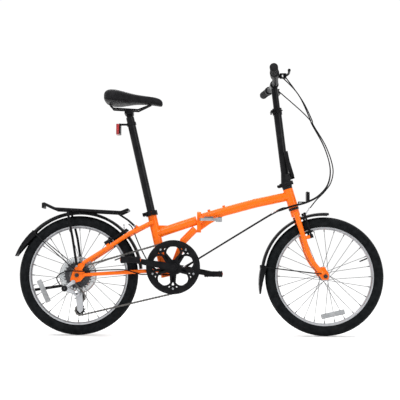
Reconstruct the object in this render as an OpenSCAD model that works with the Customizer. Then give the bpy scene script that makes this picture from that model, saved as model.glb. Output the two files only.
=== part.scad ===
// Folding bicycle with 20 inch wheels, six gears, rim brakes, mudguards and a rack.
// X points forward, Y to the rider's left, Z up. The ground is Z = 0.

/* [Wheels] */
// Outer diameter of the tyres
tyre_d = 492; // [488:1:496]
// Width of the tyres
tyre_w = 47; // [42:1:48]
// Distance between the two axles
wheelbase = 1019; // [1005:1:1035]
// Spokes in each wheel
spoke_count = 28; // [20:4:36]

/* [Frame] */
// X of the rear axle
rear_axle_x = -501; // [-505:1:-497]
// Height of the crank axis
bb_height = 281; // [276:1:286]
// How far the seat tube leans back, in degrees
seat_lean = 13.2; // [12:0.1:14]
// How far the steering axis leans back, in degrees
head_lean = 16.7; // [16:0.1:17.5]
// X of the plane where the frame parts
hinge_x = -3.5; // [-8:0.5:2]
// Distance of the fold pin from the middle plane
hinge_pin_y = 32; // [31:0.5:36]

/* [Steering] */
// Offset of the front axle from the steering axis
rake = 40; // [36:1:44]
// Distance along the steering axis from the axle to the handlepost hinge
steer_length = 413; // [410:1:418]
// How far the handlepost leans back, in degrees
post_lean = 7; // [6:0.5:8]
// Handlebar width
bar_width = 580; // [540:5:620]
// Height of the handlebar
bar_height = 1048; // [1020:1:1060]

/* [Seat] */
// Diameter of the seatpost
seatpost_d = 33.9; // [33.7:0.1:34]
// Height of the seatpost's top
seatpost_top = 908; // [880:1:915]

/* [Drive] */
// Length of the cranks
crank_length = 170; // [165:1:175]
// Teeth on the chainring
chainring_teeth = 52; // [50:1:53]
// Teeth on the smallest sprocket
small_teeth = 14; // [13:1:14]
// How far the right crank points up behind the crank axis, in degrees
crank_angle = 9.5; // [0:0.5:15]

/* [Hidden] */
$fn = 48;

orange = [0.98, 0.42, 0.04];
black = [0.08, 0.08, 0.08];
grey = [0.55, 0.56, 0.58];
silver = [0.78, 0.79, 0.8];
steel = [0.66, 0.67, 0.69];
rubber = [0.12, 0.12, 0.12];
red = [0.75, 0.05, 0.05];

// Places that many parts share
tyre_r = tyre_d / 2;
rear_axle = [rear_axle_x, 0, tyre_r];
front_axle = [rear_axle_x + wheelbase, 0, tyre_r];
bb = [-109, 0, bb_height];
seat_behind_bb = 40.5;
hinge_low = 425;
hinge_high = 513;
hinge_gap = 0.3;
plate_t = 8.5;
pin_r = 4;
fit = 0.05; // radial clearance of a running or sliding fit
gap = 0.3; // clearance between separate pieces

// Directions of the steering axis: up along it, and forward across it
steer_up = [-sin(head_lean), 0, cos(head_lean)];
steer_fwd = [cos(head_lean), 0, sin(head_lean)];
// Centre of the handlepost hinge's parting plane, on the steering axis
post_foot = front_axle - rake * steer_fwd + steer_length * steer_up;
post_up = [-sin(post_lean), 0, cos(post_lean)];
bar_centre = post_foot + (bar_height - post_foot.z) / cos(post_lean) * post_up;
head_top = -22; // along the steering axis, from the hinge plane
head_bottom = -103;

function seat_at(z) = [bb.x - seat_behind_bb - (z - bb.z) * tan(seat_lean), 0, z];

// ---- Helpers ----

// A round bar from a to b
module bar(a, b, r, r_end = -1) {
    v = b - a;
    length = norm(v);
    translate(a)
        rotate([0, acos(v.z / length), atan2(v.y, v.x)])
            cylinder(h = length, r1 = r, r2 = r_end < 0 ? r : r_end);
}

// Round bars through a list of points, with a ball at each bend
module bent_bar(points, r) {
    for (i = [0 : len(points) - 2])
        bar(points[i], points[i + 1], r);
    for (i = [1 : len(points) - 2])
        translate(points[i])
            sphere(r = r * 1.015);
}

// A round bar along Y, from y0 to y1, through [x, z]
module cross_bar(x, z, y0, y1, r) {
    translate([x, y0, z])
        rotate([-90, 0, 0])
            cylinder(h = y1 - y0, r = r);
}

module both_sides() {
    children();
    mirror([0, 1, 0])
        children();
}

// Local frames: Z up the steering axis, the handlepost or the seat tube
module on_steer()
    translate(post_foot) rotate([0, -head_lean, 0]) children();

module on_post()
    translate(post_foot) rotate([0, -post_lean, 0]) children();

module on_seat(z)
    translate(seat_at(z)) rotate([0, -seat_lean, 0]) children();

// Puts a wheel made about Z onto its axle, with its Z along +Y
module on_axle(place)
    translate(place) rotate([-90, 0, 0]) children();

// A slab lying in the XZ plane, centred on y, from an outline of [x, z] points
module slab(outline, y, thick)
    translate([0, y + thick / 2, 0]) rotate([90, 0, 0])
        linear_extrude(thick) polygon(outline);

// Smooth curve through points, with steps between each two
function smooth(p, steps) = [
    for (i = [0 : len(p) - 2])
        let (a = p[max(i - 1, 0)], b = p[i], c = p[i + 1], d = p[min(i + 2, len(p) - 1)])
            for (k = [0 : steps - 1 + (i == len(p) - 2 ? 1 : 0)])
                let (t = k / steps)
                    0.5 * ((2 * b) + (c - a) * t + (2 * a - 5 * b + 4 * c - d) * t * t
                        + (3 * b - a - 3 * c + d) * t * t * t)
];

function unit(v) = v / norm(v);
function tangent(p, i) = unit(p[min(i + 1, len(p) - 1)] - p[max(i - 1, 0)]);

// Ring of points round place i of a route, square to it
function ring(p, i, r, sides) =
    let (t = tangent(p, i), side = abs(t.y) > 0.9 ? [1, 0, 0] : [0, 1, 0],
         n = unit(cross(side, t)), m = cross(t, n))
        [for (k = [0 : sides - 1]) p[i] + r * (cos(360 * k / sides) * n + sin(360 * k / sides) * m)];

// A flexible tube swept along a route
module hose(route, r, sides = 8) {
    rings = [for (i = [0 : len(route) - 1]) each ring(route, i, r, sides)];
    last = (len(route) - 1) * sides;
    polyhedron(
        points = rings,
        faces = [
            [for (k = [0 : sides - 1]) k],
            [for (k = [0 : sides - 1]) last + sides - 1 - k],
            for (i = [0 : len(route) - 2], k = [0 : sides - 1])
                let (a = i * sides + k, b = i * sides + (k + 1) % sides)
                    [b, a, a + sides, b + sides]
        ]
    );
}

// ---- Wheels ----

rim_r = 208;
rim_half = 12.5;
rim_inner_r = 194;
bead_r = 203;
crown_flat = 2; // how much of the round section the flat tread takes off

// The tyre's casing, open at the beads, with its tube inside it
module tyre() {
    wall = 3.2;
    centre_r = tyre_r - tyre_w / 2 + crown_flat;
    rotate_extrude($fn = 96)
        difference() {
            intersection() {
                translate([centre_r, 0])
                    circle(d = tyre_w);
                translate([bead_r, -tyre_w])
                    square([tyre_r - bead_r, 2 * tyre_w]);
            }
            translate([centre_r, 0])
                circle(d = tyre_w - 2 * wall);
            translate([bead_r - 1, -rim_half - gap])
                square([rim_r - bead_r + 1 + gap, 2 * (rim_half + gap)]);
        }
}

module rim() {
    wall = 2;
    rotate_extrude($fn = 96)
        difference() {
            translate([rim_inner_r, -rim_half])
                polygon([[0, 5], [5, 0], [14, 0], [14, 25], [5, 25], [0, 20]]);
            translate([rim_inner_r + 8, -rim_half + wall])
                square([12, 2 * (rim_half - wall)]);
            translate([rim_inner_r + wall, -rim_half + wall])
                polygon([[0, 4], [4, 0.6], [4, 20.4], [0, 17]]);
        }
}

// Spokes of one wheel, crossing, from two hub flanges to the rim, with their nipples
module spokes(flange_r, left_y, right_y) {
    spoke_r = 1;
    sweep = 60;
    for (i = [0 : spoke_count - 1]) {
        y = i % 2 == 0 ? left_y : right_y;
        turn = (floor(i / 2) % 2 == 0 ? 1 : -1) * sweep;
        outer = 360 * i / spoke_count;
        hub_end = [flange_r * cos(outer + turn), flange_r * sin(outer + turn), y];
        rim_end = [(rim_inner_r - 0.4) * cos(outer), (rim_inner_r - 0.4) * sin(outer), 0];
        along = unit(rim_end - hub_end);
        bar(hub_end, rim_end, spoke_r);
        bar(rim_end - 9 * along, rim_end, 2);
    }
}

module hub(shell_r, flange_r, left_y, right_y) {
    bore_r = 9;
    difference() {
        union() {
            translate([0, 0, right_y - 2])
                cylinder(h = left_y - right_y + 4, r = shell_r);
            for (y = [left_y, right_y])
                translate([0, 0, y + (y > 0 ? 1.2 : -4.2)])
                    cylinder(h = 3, r = flange_r + 4);
        }
        translate([0, 0, right_y - 20])
            cylinder(h = left_y - right_y + 40, r = bore_r);
    }
}

// Axle with its cones, bearing rings, locknuts and wheel nuts
module axle_set(half_over_locknuts, plate, bearing_y) {
    axle_r = 4.8;
    end = half_over_locknuts + plate + 16;
    translate([0, 0, -end])
        cylinder(h = 2 * end, r = axle_r);
    for (s = [-1, 1]) {
        translate([0, 0, s > 0 ? bearing_y + 3 : -half_over_locknuts + 0.2])
            cylinder(h = half_over_locknuts - bearing_y - 3.2, r = 8);
        translate([0, 0, s * bearing_y])
            rotate_extrude() translate([6.8, 0]) circle(r = 1.6);
        translate([0, 0, s > 0 ? half_over_locknuts + plate + 0.2 : -half_over_locknuts - plate - 9.2])
            cylinder(h = 9, r = 9, $fn = 6);
    }
}

module rear_tyre() color(rubber) on_axle(rear_axle) tyre();
module front_tyre() color(rubber) on_axle(front_axle) tyre();
module rear_rim() color(silver) on_axle(rear_axle) rim();
module front_rim() color(silver) on_axle(front_axle) rim();

rear_flange_y = [34, -22];
front_flange_y = [23, -23];
module rear_spokes() color(steel) on_axle(rear_axle)
    spokes(22, rear_flange_y[0], rear_flange_y[1]);
module front_spokes() color(steel) on_axle(front_axle)
    spokes(16, front_flange_y[0], front_flange_y[1]);
module rear_hub() color(silver) on_axle(rear_axle)
    hub(16, 22, rear_flange_y[0], rear_flange_y[1]);
module front_hub() color(silver) on_axle(front_axle)
    hub(13, 16, front_flange_y[0], front_flange_y[1]);

rear_half = 65;
front_half = 37;
dropout_t = 5;
module rear_axle_set() color(steel) on_axle(rear_axle) axle_set(rear_half, dropout_t, 28);
module front_axle_set() color(steel) on_axle(front_axle) axle_set(front_half, dropout_t, 18);

// ---- Rear frame ----

seat_tube_r = 19;
main_r = 19;
stay_top = [-195, 20, 468];
stay_bend = [-290, 38, 419];
stay_boss = [-388, 42, 353];
stay_end = [-478, 70, 295];
chain_stay_front = [-150, 20, 268];
chain_stay_bend = [-228, 35.5, 264];
chain_stay_wide = [-300, 41, 259];
chain_stay_end = [-474, 70, 248];
boss_dir = unit([-0.552, 0, 0.834]);
boss_y = 40;
rear_boss = [-371, boss_y, 358];
hanger = [-514, -70, 218];
kick_pivot = [-482, 84, 216];
kick_axis = [sin(15), -cos(15), 0]; // the leg swings out as it comes down
rack_tab = [-268, 33, 448];

module hinge_plate(side) {
    // side -1 is the rear plate, +1 the front one
    x0 = side < 0 ? hinge_x - hinge_gap / 2 - plate_t : hinge_x + hinge_gap / 2;
    half = 23;
    translate([x0, -half + 0.4, hinge_low + half])
        cube([plate_t, 2 * half - 1.4, hinge_high - hinge_low - 2 * half]);
    for (z = [hinge_low + half, hinge_high - half])
        translate([x0, 0, z]) rotate([0, 90, 0])
            cylinder(h = plate_t, r = half);
}

module knuckle(side, z0, z1) {
    x0 = side < 0 ? hinge_x - hinge_gap / 2 - plate_t : hinge_x + hinge_gap / 2;
    translate([x0, 10, z0])
        cube([plate_t, hinge_pin_y - 10, z1 - z0]);
    translate([hinge_x, hinge_pin_y, z0])
        cylinder(h = z1 - z0, r = 8);
}

module pin_hole(r)
    translate([hinge_x, hinge_pin_y, hinge_low - 20]) cylinder(h = 130, r = r);

knuckle_low = 449;
knuckle_high = 489;

module rear_frame() color(orange)
    difference() {
        union() {
            // seat tube, main tube, strut and crank shell
            bar(seat_at(240), seat_at(512), seat_tube_r);
            bar([-186, 0, 417], [hinge_x - 9.5, 0, 476], main_r);
            bent_bar([[-109, 0, bb_height], [-68, 0, 391], [hinge_x - 15, 0, 441]], 15);
            cross_bar(bb.x, bb.z, -34, 34, 20);
            translate([-152, -14, 262]) cube([40, 28, 34]);
            hinge_plate(-1);
            knuckle(-1, 432, knuckle_low - gap);
            knuckle(-1, knuckle_high + gap, 506);
            // flat gusset over the main tube
            slab([[-188, 430], [-188, 455], [-128, 454], [-90, 458], [-100, 440]], 0, 5);
            both_sides() {
                bar(stay_top, stay_bend, 9);
                bar(stay_bend, stay_boss, 9);
                bar(stay_boss, stay_end, 9, 7.5);
                translate(stay_bend) sphere(r = 9.2);
                translate(stay_boss) sphere(r = 9.2);
                bar(chain_stay_front, chain_stay_bend, 8);
                bar(chain_stay_bend, chain_stay_wide, 8);
                bar(chain_stay_wide, chain_stay_end, 8, 7);
                translate(chain_stay_bend) sphere(r = 8.2);
                translate(chain_stay_wide) sphere(r = 8.2);
                // dropout plate
                slab([[-470, 240], [-486, 222], [-520, 212], [-528, 226], [-518, 262],
                      [-500, 290], [-474, 300], [-468, 290], [-480, 268], [-468, 256]],
                     rear_half + dropout_t / 2, dropout_t);
                bar(rear_boss, rear_boss + 20 * boss_dir, 7);
                translate(rack_tab - [0, 2.5, 14]) rotate([0, 30, 0])
                    translate([-7, 0, -2]) cube([14, 5, 22]);
            }
            cross_bar(-285, 421.5, -38, 38, 6);
            // kickstand plate
            translate([-496, rear_half + dropout_t - 1, 206]) cube([28, 4, 30]);
        }
        on_seat(200) cylinder(h = 340, r = seatpost_d / 2 + fit);
        cross_bar(bb.x, bb.z, -40, 40, 17);
        cross_bar(rear_axle.x, rear_axle.z, -90, 90, 5);
        cross_bar(hanger.x, hanger.z, -90, -60, 4.2);
        pin_hole(pin_r);
        translate([hinge_x - hinge_gap / 2, hinge_pin_y - 9, knuckle_low - gap])
            translate([-9, 0, 0]) cube([20, 20, knuckle_high - knuckle_low + 2 * gap]);
        both_sides()
            cross_bar(rack_tab.x, rack_tab.z, 20, 40, 2.6);
        bar(kick_pivot - 10 * kick_axis, kick_pivot + 26 * kick_axis, 4);
    }

module frame_hinge_pin() color(steel)
    translate([hinge_x, hinge_pin_y, 429]) {
        cylinder(h = 80, r = pin_r - fit);
        translate([0, 0, 77.5]) cylinder(h = 3, r = 6.5);
        cylinder(h = 2.5, r = 6.5);
    }

module bottom_bracket() color(grey)
    difference() {
        union() {
            cross_bar(bb.x, bb.z, -33.5, 33.5, 16.9);
            both_sides() cross_bar(bb.x, bb.z, 34.1, 37.5, 19.5);
            both_sides() cross_bar(bb.x, bb.z, 30, 35, 16.9);
        }
        cross_bar(bb.x, bb.z, -50, 50, 8.6);
    }

seat_skewer_y = -31;
module seat_clamp() color(black) on_seat(503) {
    difference() {
        union() {
            translate([0, 0, -9]) cylinder(h = 20, r = 25);
            translate([-14, -36, -7]) cube([28, 22, 16]);
        }
        translate([0, 0, -12]) cylinder(h = 21.8, r = seat_tube_r + 0.05);
        cylinder(h = 40, r = seatpost_d / 2 + 0.3);
        translate([-1, -40, -20]) cube([2, 26, 50]);
        translate([-30, seat_skewer_y, 1]) rotate([0, 90, 0]) cylinder(h = 60, r = 2.6);
    }
    translate([-26, seat_skewer_y, 1]) rotate([0, 90, 0]) cylinder(h = 46, r = 2.5);
    translate([14.2, seat_skewer_y, 1]) rotate([0, 90, 0]) cylinder(h = 8, r = 6);
}

module seat_clamp_lever() color(black) on_seat(503)
    difference() {
        union() {
            translate([-29, seat_skewer_y, -6]) cylinder(h = 14, r = 8);
            translate([-36, seat_skewer_y, -5]) cube([7, 56, 12]);
        }
        translate([-32, seat_skewer_y - 11, -3]) cube([22, 14, 8]);
    }

rack_y = 50;
function rack_z(x) = 505.5 - (x + 326) * 13.5 / 274;
rack_loop = [
    [-326, rack_y, rack_z(-326)], [-300, 38, 517], [-300, -38, 517],
    [-326, -rack_y, rack_z(-326)], [-600, -rack_y, rack_z(-600)], [-645, -40, 540],
    [-645, 40, 540], [-600, rack_y, rack_z(-600)]
];
module rear_rack() color(black) {
    rail_r = 6;
    for (i = [0 : len(rack_loop) - 1]) {
        bar(rack_loop[i], rack_loop[(i + 1) % len(rack_loop)], rail_r);
        translate(rack_loop[i])
            sphere(r = rail_r * 1.015);
    }
    both_sides() {
        bent_bar([[-348, rack_y, 506.5], [-300, 36.5, 476], [rack_tab.x, 39, rack_tab.z]], 4);
        bent_bar([[-545, 57.5, 509.5], [-520, 78, 400], [-501, 77.5, 286]], 5);
    }
    for (x = [-340 : -65 : -600])
        cross_bar(x, rack_z(x) + 2, -rack_y, rack_y, 4);
    translate([-602, -26, rack_z(-602) + 2.5])
        rotate([0, 2.8, 0])
            cube([265, 52, 4]);
    difference() {
        translate([-656, -32, 523]) cube([8, 64, 22]);
        both_sides()
            translate([-660, 25, 530]) rotate([0, 90, 0]) cylinder(h = 20, r = 2.6);
    }
}

fender_r = 265;
fender_half = 25.5;
// Arched mudguard from angle a0 to a1, measured forward over the top from the front
module fender(a0, a1)
    rotate([0, 0, a0])
        rotate_extrude(angle = a1 - a0, $fn = 96)
            polygon([[fender_r - 10, -fender_half], [fender_r - 3, -18], [fender_r, -8],
                     [fender_r, 8], [fender_r - 3, 18], [fender_r - 10, fender_half],
                     [fender_r - 12, fender_half - 0.5], [fender_r - 5, 17], [fender_r - 2, 7],
                     [fender_r - 2, -7], [fender_r - 5, -17], [fender_r - 12, -fender_half + 0.5]]);

// Turns an angle round a wheel, from forward up over the top, into a wheel frame
module wheel_side(place) translate(place) rotate([90, 0, 0]) children();

// Rubber flap that follows the mudguard's end and flares out past it
module mudflap(a0, a1, flare) {
    steps = 6;
    thick = 3;
    inner = fender_r - 2.5;
    function edge(k, r) = let (a = a0 + (a1 - a0) * k / steps)
        (r + flare * k / steps) * [cos(a), sin(a)];
    translate([0, 0, -fender_half - 1])
        linear_extrude(2 * fender_half + 2)
            polygon(concat([for (k = [0 : steps]) edge(k, inner)],
                           [for (k = [steps : -1 : 0]) edge(k, inner + thick)]));
}

module rear_fender() color(black) {
    wheel_side(rear_axle) {
        fender(6, 139);
        mudflap(137, 163.5, 8.6);
    }
    both_sides() {
        bent_bar([[-688, 33.7, 424], [-640, 44, 379], [-521, 79.5, 279], [-507, 79.5, 268]], 2);
        translate([-694, 24.2, 416]) cube([12, 7, 14]);
    }
}

module front_fender() color(black) {
    wheel_side(front_axle) {
        fender(86, 172);
        mudflap(170, 195.5, 13);
    }
    both_sides() {
        bar([259, 33.9, 284], [500, 49, 256], 2);
        translate([252, 24.2, 276]) cube([12, 7, 16]);
    }
    on_steer() difference() {
        translate([-16, -9, -149.5]) cube([34, 18, 3]);
        translate([0, 0, -160]) cylinder(h = 20, r = 3);
    }
}

// ---- Front frame ----

boss_z = -238;
front_tube = [[hinge_x + 8, 0, 485], [90, 0, 510.5], [230, 0, 549], [372, 0, 580]];
rivnut_tilt = 15.8;
rivnut_mid = [68.5, 0, 525.6];

module front_frame() color(orange)
    difference() {
        union() {
            bent_bar(front_tube, 19);
            on_steer() translate([0, 0, head_bottom]) cylinder(h = head_top - head_bottom, r = 20.5);
            hinge_plate(1);
            knuckle(1, knuckle_low, knuckle_high);
            slab([[2, 433], [42, 462], [95, 492], [95, 505], [2, 480]], 0, 26);
            for (s = [-1, 1])
                translate(rivnut_mid) rotate([0, -rivnut_tilt, 0])
                    translate([32 * s, 0, -8]) cylinder(h = 12, r = 6);
            // latch ears
            translate([hinge_x + hinge_gap / 2, -44, 466]) cube([16, 26, 6]);
            translate([hinge_x + hinge_gap / 2, -44, 484.6]) cube([16, 26, 6]);
        }
        on_steer() translate([0, 0, head_bottom - 1]) cylinder(h = 90, r = 17);
        pin_hole(pin_r + fit);
        for (s = [-1, 1])
            translate(rivnut_mid) rotate([0, -rivnut_tilt, 0])
                translate([32 * s, 0, -10]) cylinder(h = 20, r = 2.5);
        translate([latch_at.x, latch_at.y, 460]) cylinder(h = 40, r = 3.05);
    }

latch_at = [hinge_x + 9, -37, 478];
module frame_latch_lever() color(silver) {
    difference() {
        union() {
            translate([latch_at.x, latch_at.y, 472.4]) cylinder(h = 11.8, r = 7);
            translate([latch_at.x, latch_at.y - 6, 472.6]) cube([74, 8, 11.4]);
            translate([latch_at.x + 60, latch_at.y - 9, 468]) cube([26, 6, 18]);
        }
        translate([latch_at.x, latch_at.y, 460]) cylinder(h = 40, r = 3.05);
    }
    translate([latch_at.x, latch_at.y, 465]) cylinder(h = 27, r = 3);
}

catch_at = [latch_at.x + 44, -39, 484.3];
module frame_safety_catch() color(grey) {
    translate(catch_at) cylinder(h = 6, r = 6);
    translate(catch_at + [-32, -4, 0.4]) cube([32, 8, 5]);
}

module headset() color(black) on_steer()
    difference() {
        union() {
            translate([0, 0, head_top + 0.1]) cylinder(h = 9, r = 20.5);
            translate([0, 0, head_top - 6]) cylinder(h = 6.2, r = 16.95);
            translate([0, 0, head_bottom - 10.1]) cylinder(h = 10, r = 21.5);
            translate([0, 0, head_bottom - 0.2]) cylinder(h = 6.2, r = 16.95);
        }
        translate([0, 0, head_bottom - 20]) cylinder(h = 130, r = 14.7);
    }

module front_reflector() color(black) {
    translate([444, -20, 560]) cube([6, 40, 38]);
    translate([450, -20, 560]) cube([6, 40, 36]);
    translate([410, -5, 553]) cube([40, 10, 4]);
    translate([410, -8, 546]) cube([3, 16, 11]);
    translate([444, -5, 553]) cube([4, 10, 12]);
}

tension_route = smooth([[-82, 0, 272], [0, 0, 320], [160, 0, 419], [319, 0, 516], [360, 0, 531]], 4);
module tension_cable() color(black)
    hose(tension_route, 3, 8);

// ---- Fork and front brake ----

blade_y = 38.5;
bend_r = 187;
bend_angle = 37.2;
module fork() color(orange)
    difference() {
        union() {
            on_steer() {
                translate([0, 0, -140]) cylinder(h = 26, r = 19);
                translate([0, 0, -120]) cylinder(h = 119, r = 14.3);
                translate([-11, -blade_y, -144]) cube([22, 2 * blade_y, 20]);
                both_sides() {
                    translate([0, blade_y, -290]) cylinder(h = 166, r1 = 10, r2 = 11.3);
                    translate([bend_r, blade_y, -290]) rotate([90, 0, 180])
                        rotate_extrude(angle = -bend_angle)
                            translate([bend_r, 0]) circle(r = 10);
                    translate([6, boss_y, boss_z]) rotate([0, 90, 0]) cylinder(h = 20, r = 7);
                }
            }
            both_sides()
                slab([[500, 282], [482, 262], [506, 232], [530, 232], [532, 256], [514, 286]],
                     front_half + dropout_t / 2, dropout_t);
        }
        cross_bar(front_axle.x, front_axle.z, -60, 60, 5);
    }

// A linear-pull brake arm standing on a boss, in a frame whose X points out along the boss
// and whose Z runs up the arm. Its pivot is at the origin and the rim lies towards -Y.
module brake_arm() {
    difference() {
        union() {
            rotate([0, 90, 0]) cylinder(h = 13, r = 8);
            translate([2, -6, 0]) cube([8, 10, 96]);
            translate([2, -10, 90]) cube([8, 14, 12]);
            translate([5, -16, 19.5]) rotate([-90, 0, 0]) cylinder(h = 12, r = 3.5);
        }
        translate([-1, 0, 0]) rotate([0, 90, 0]) cylinder(h = 20, r = 4);
    }
    translate([-26, -26, 15]) cube([46, 11, 9]);
}

module front_arm_place(side) on_steer()
    translate([26.5, side * boss_y, boss_z])
        mirror([0, side > 0 ? 0 : 1, 0])
            children();

module rear_arm_place(side)
    translate([rear_boss.x, side * boss_y, rear_boss.z] + 20.5 * boss_dir)
        mirror([0, side > 0 ? 0 : 1, 0])
            rotate([0, -123.5, 0]) mirror([0, 0, 1]) children();

module front_left_brake_arm() color(black) front_arm_place(1) brake_arm();
module front_right_brake_arm() color(black) front_arm_place(-1) brake_arm();
module rear_left_brake_arm() color(black) rear_arm_place(1) brake_arm();
module rear_right_brake_arm() color(black) rear_arm_place(-1) brake_arm();

// ---- Handlepost ----

post_pin_out = 28;
module hinge_turn() rotate([0, 0, 45]) children();

module handlepost_base() color(black) on_steer() {
    hinge_turn() translate([-22.5, post_pin_out, 0]) rotate([0, 90, 0]) cylinder(h = 45, r = 3 - fit);
    difference() {
        union() {
            translate([0, 0, head_top + 9.4]) cylinder(h = 12.3, r = 21.5);
            hinge_turn() translate([-20, -22, -8]) cube([40, 43.8, 7.8]);
            hinge_turn() for (x = [-22, 10]) {
                translate([x, 20, -8]) cube([12, 8, 7.8]);
                translate([x, post_pin_out, 0]) rotate([0, 90, 0]) cylinder(h = 12, r = 5.8);
            }
        }
        translate([0, 0, -40]) cylinder(h = 45, r = 14.6);
        hinge_turn() translate([-30, post_pin_out, 0]) rotate([0, 90, 0]) cylinder(h = 60, r = 3);
    }
}

outer_post_r = 17;
telescope_at = 322;
module handlepost() color(black) {
    on_post() {
        translate([-13, -28, telescope_at - 15]) rotate([0, 90, 0]) cylinder(h = 33, r = 2.5);
        translate([6.2, -28, telescope_at - 15]) rotate([0, 90, 0]) cylinder(h = 6, r = 6);
    }
    difference() {
        union() {
            on_steer() hinge_turn() {
                translate([-20, -22, 0.2]) cube([40, 42, 8]);
                translate([-9.6, 14, 0.2]) cube([19.2, 14, 8]);
                translate([-9.6, post_pin_out, 0]) rotate([0, 90, 0]) cylinder(h = 19.2, r = 5.8);
                for (x = [-13, 8.4])
                    translate([x, -42, 12]) cube([4.6, 26, 26]);
            }
            on_post() {
                translate([0, 0, 4]) cylinder(h = 44, r1 = 22, r2 = outer_post_r);
                translate([0, 0, 40]) cylinder(h = telescope_at - 40, r = outer_post_r);
                translate([0, 0, telescope_at - 28]) cylinder(h = 28, r = 20);
                translate([-6, -34, telescope_at - 24]) cube([12, 18, 18]);
            }
        }
        on_post() {
            translate([0, 0, 60]) cylinder(h = 300, r = 14 + fit);
            translate([-20, -28, telescope_at - 15]) rotate([0, 90, 0]) cylinder(h = 40, r = 2.6);
        }
        on_steer() hinge_turn() {
            translate([-30, post_pin_out, 0]) rotate([0, 90, 0]) cylinder(h = 60, r = 3);
            translate([-30, -34, 28]) rotate([0, 90, 0]) cylinder(h = 60, r = 3.05);
        }
    }
}

module handlepost_latch() color(black) on_steer() hinge_turn() {
    translate([-8, -34, 28]) rotate([0, 90, 0]) cylinder(h = 16, r = 8);
    translate([-8, -47, 22]) cube([16, 9, 60]);
    translate([-7, -47, 80]) rotate([6, 0, 0]) cube([14, 7, 50]);
    translate([-13, -34, 28]) rotate([0, 90, 0]) cylinder(h = 26, r = 3);
}

module telescope_lever() color(black) on_post()
    difference() {
        union() {
            translate([-15, -28, telescope_at - 22]) cylinder(h = 14, r = 7);
            translate([-29, -31, telescope_at - 21]) cube([14, 10, 12]);
            translate([-29, -31, telescope_at - 21]) cube([7, 49, 12]);
        }
        translate([-15, -28, telescope_at - 18]) cylinder(h = 6, r = 7.6);
    }

bar_r = 12.7;
post_len = norm(bar_centre - post_foot);
module handlebar_stem() color(black) on_post() {
    difference() {
        union() {
            translate([0, 0, 190]) cylinder(h = post_len - 190, r = 14);
            translate([0, 23, post_len]) rotate([90, 0, 0]) cylinder(h = 46, r = 18);
        }
        translate([0, 40, post_len]) rotate([90, 0, 0]) cylinder(h = 80, r = bar_r + fit);
    }
}

// Handlebar's right half, from the middle out to the end
bar_half = [bar_centre, bar_centre + [0, -70, 0], bar_centre + [-8, -150, 8],
            bar_centre + [-24, -bar_width / 2 + 2, 14]];
function bar_at(y) = let (a = bar_half[2], b = bar_half[3]) a + (b - a) * (y - a.y) / (b.y - a.y);

module handlebar() color(black) {
    both_sides() bent_bar(bar_half, bar_r);
}

module sleeve(y0, y1, r)
    difference() {
        bar(bar_at(y0), bar_at(y1), r);
        bar(bar_at(y0 + 2), bar_at(y1 - 2), bar_r + 0.1);
    }

module grips() color(rubber) {
    mirror([0, 1, 0]) sleeve(-168, -bar_width / 2, 16.5);
    sleeve(-206, -bar_width / 2, 16.5);
}

module twist_shifter() color(black)
    sleeve(-168, -205, 19);

lever_pivot_out = 34;
module brake_lever_brackets() color(black) both_sides()
    difference() {
        union() {
            bar(bar_at(-152), bar_at(-166), 18);
            translate(bar_at(-160)) translate([8, -7, -9]) cube([20, 14, 14]);
            translate(bar_at(-160)) translate([20, -9, -12]) cube([26, 18, 4]);
            translate(bar_at(-160)) translate([20, -9, 4]) cube([26, 18, 4]);
        }
        bar(bar_at(-150), bar_at(-168), bar_r + 0.1);
        translate(bar_at(-160) + [lever_pivot_out + 4, 0, -20]) cylinder(h = 40, r = 2.55);
    }

module brake_lever() {
    p = bar_at(-160) + [lever_pivot_out + 4, 0, 0];
    translate(p + [0, 0, -13]) cylinder(h = 22, r = 2.5);
    difference() {
        union() {
            translate(p + [0, 0, -7.6]) cylinder(h = 11.2, r = 7);
            bent_bar([p + [2, 0, -2], p + [12, -40, -2], p + [4, -100, 0]], 5);
        }
        translate(p + [0, 0, -20]) cylinder(h = 40, r = 2.55);
    }
}
module right_brake_lever() color(black) brake_lever();
module left_brake_lever() color(black) mirror([0, 1, 0]) brake_lever();

// ---- Seat ----

post_low = 362;
module seatpost() color(black) {
    difference() {
        bar(seat_at(post_low), seat_at(seatpost_top), seatpost_d / 2);
        bar(seat_at(post_low - 5), seat_at(seatpost_top - 20), seatpost_d / 2 - 2.4);
    }
}

clamp_z = seatpost_top + 13;
rail_y = 21;
rail = [[-382, 14, 962], [-366, rail_y, 944], [-262, rail_y, 938], [-208, 7, 962]];
module saddle_clamp() color(steel) {
    difference() {
        union() {
            on_seat(seatpost_top) translate([0, 0, 0.2]) cylinder(h = 14, r = 14);
            translate([seat_at(clamp_z).x - 18, -30, clamp_z - 2]) cube([36, 60, 22]);
        }
        both_sides() bar(rail[1], rail[2], 3.55);
    }
    cross_bar(seat_at(clamp_z).x, clamp_z + 2, 30, 38, 6);
    cross_bar(seat_at(clamp_z).x, clamp_z + 2, -38, -30, 6);
    both_sides() bent_bar(rail, 3.5);
}

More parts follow.
